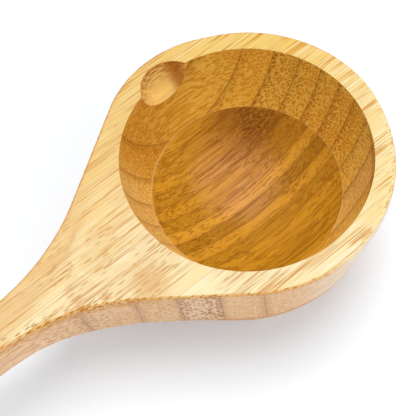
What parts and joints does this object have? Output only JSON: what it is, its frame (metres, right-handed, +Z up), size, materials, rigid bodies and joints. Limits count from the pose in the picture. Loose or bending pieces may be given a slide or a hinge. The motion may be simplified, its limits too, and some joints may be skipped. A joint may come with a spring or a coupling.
{
  "type": "water ladle",
  "caption": "Bamboo water ladle with a round flat-rimmed bowl, a pouring notch at its side and a slim bar handle, glued up from strips in two plies.",
  "frame": {"origin": "on the plane of the flat foot, straight under the middle of the bowl's mouth", "axes": "+X from the handle to the front of the bowl, +Y to the side with the pouring notch, +Z up out of the bowl"},
  "size_m": [0.1872, 0.0836, 0.0357],
  "materials": {
    "top_bamboo": "sanded natural bamboo, thin clear oil, satin",
    "bottom_bamboo": "sanded natural bamboo, darker inside the bowl, thin clear oil, satin"
  },
  "bodies": {
    "root": {"bottom_strip_01": "bottom_bamboo", "bottom_strip_02": "bottom_bamboo", "bottom_strip_03": "bottom_bamboo", "bottom_strip_04": "bottom_bamboo", "bottom_strip_05": "bottom_bamboo", "bottom_strip_06": "bottom_bamboo", "bottom_strip_07": "bottom_bamboo", "bottom_strip_08": "bottom_bamboo", "bottom_strip_09": "bottom_bamboo", "bottom_strip_10": "bottom_bamboo", "bottom_strip_11": "bottom_bamboo", "bottom_strip_12": "bottom_bamboo", "bottom_strip_13": "bottom_bamboo", "bottom_strip_14": "bottom_bamboo", "bottom_strip_15": "bottom_bamboo", "bottom_strip_16": "bottom_bamboo", "bottom_strip_17": "bottom_bamboo", "bottom_strip_18": "bottom_bamboo", "front_strip_03": "top_bamboo", "front_strip_04": "top_bamboo", "front_strip_05": "top_bamboo", "front_strip_06": "top_bamboo", "front_strip_07": "top_bamboo", "front_strip_08": "top_bamboo", "front_strip_09": "top_bamboo", "front_strip_10": "top_bamboo", "handle_strip_03": "top_bamboo", "handle_strip_04": "top_bamboo", "handle_strip_05": "top_bamboo", "handle_strip_06": "top_bamboo", "handle_strip_07": "top_bamboo", "handle_strip_08": "top_bamboo", "handle_strip_09": "top_bamboo", "handle_strip_10": "top_bamboo", "rim_strip_01": "top_bamboo", "rim_strip_02": "top_bamboo", "rim_strip_11": "top_bamboo", "rim_strip_12": "top_bamboo"}
  },
  "joints": []
}
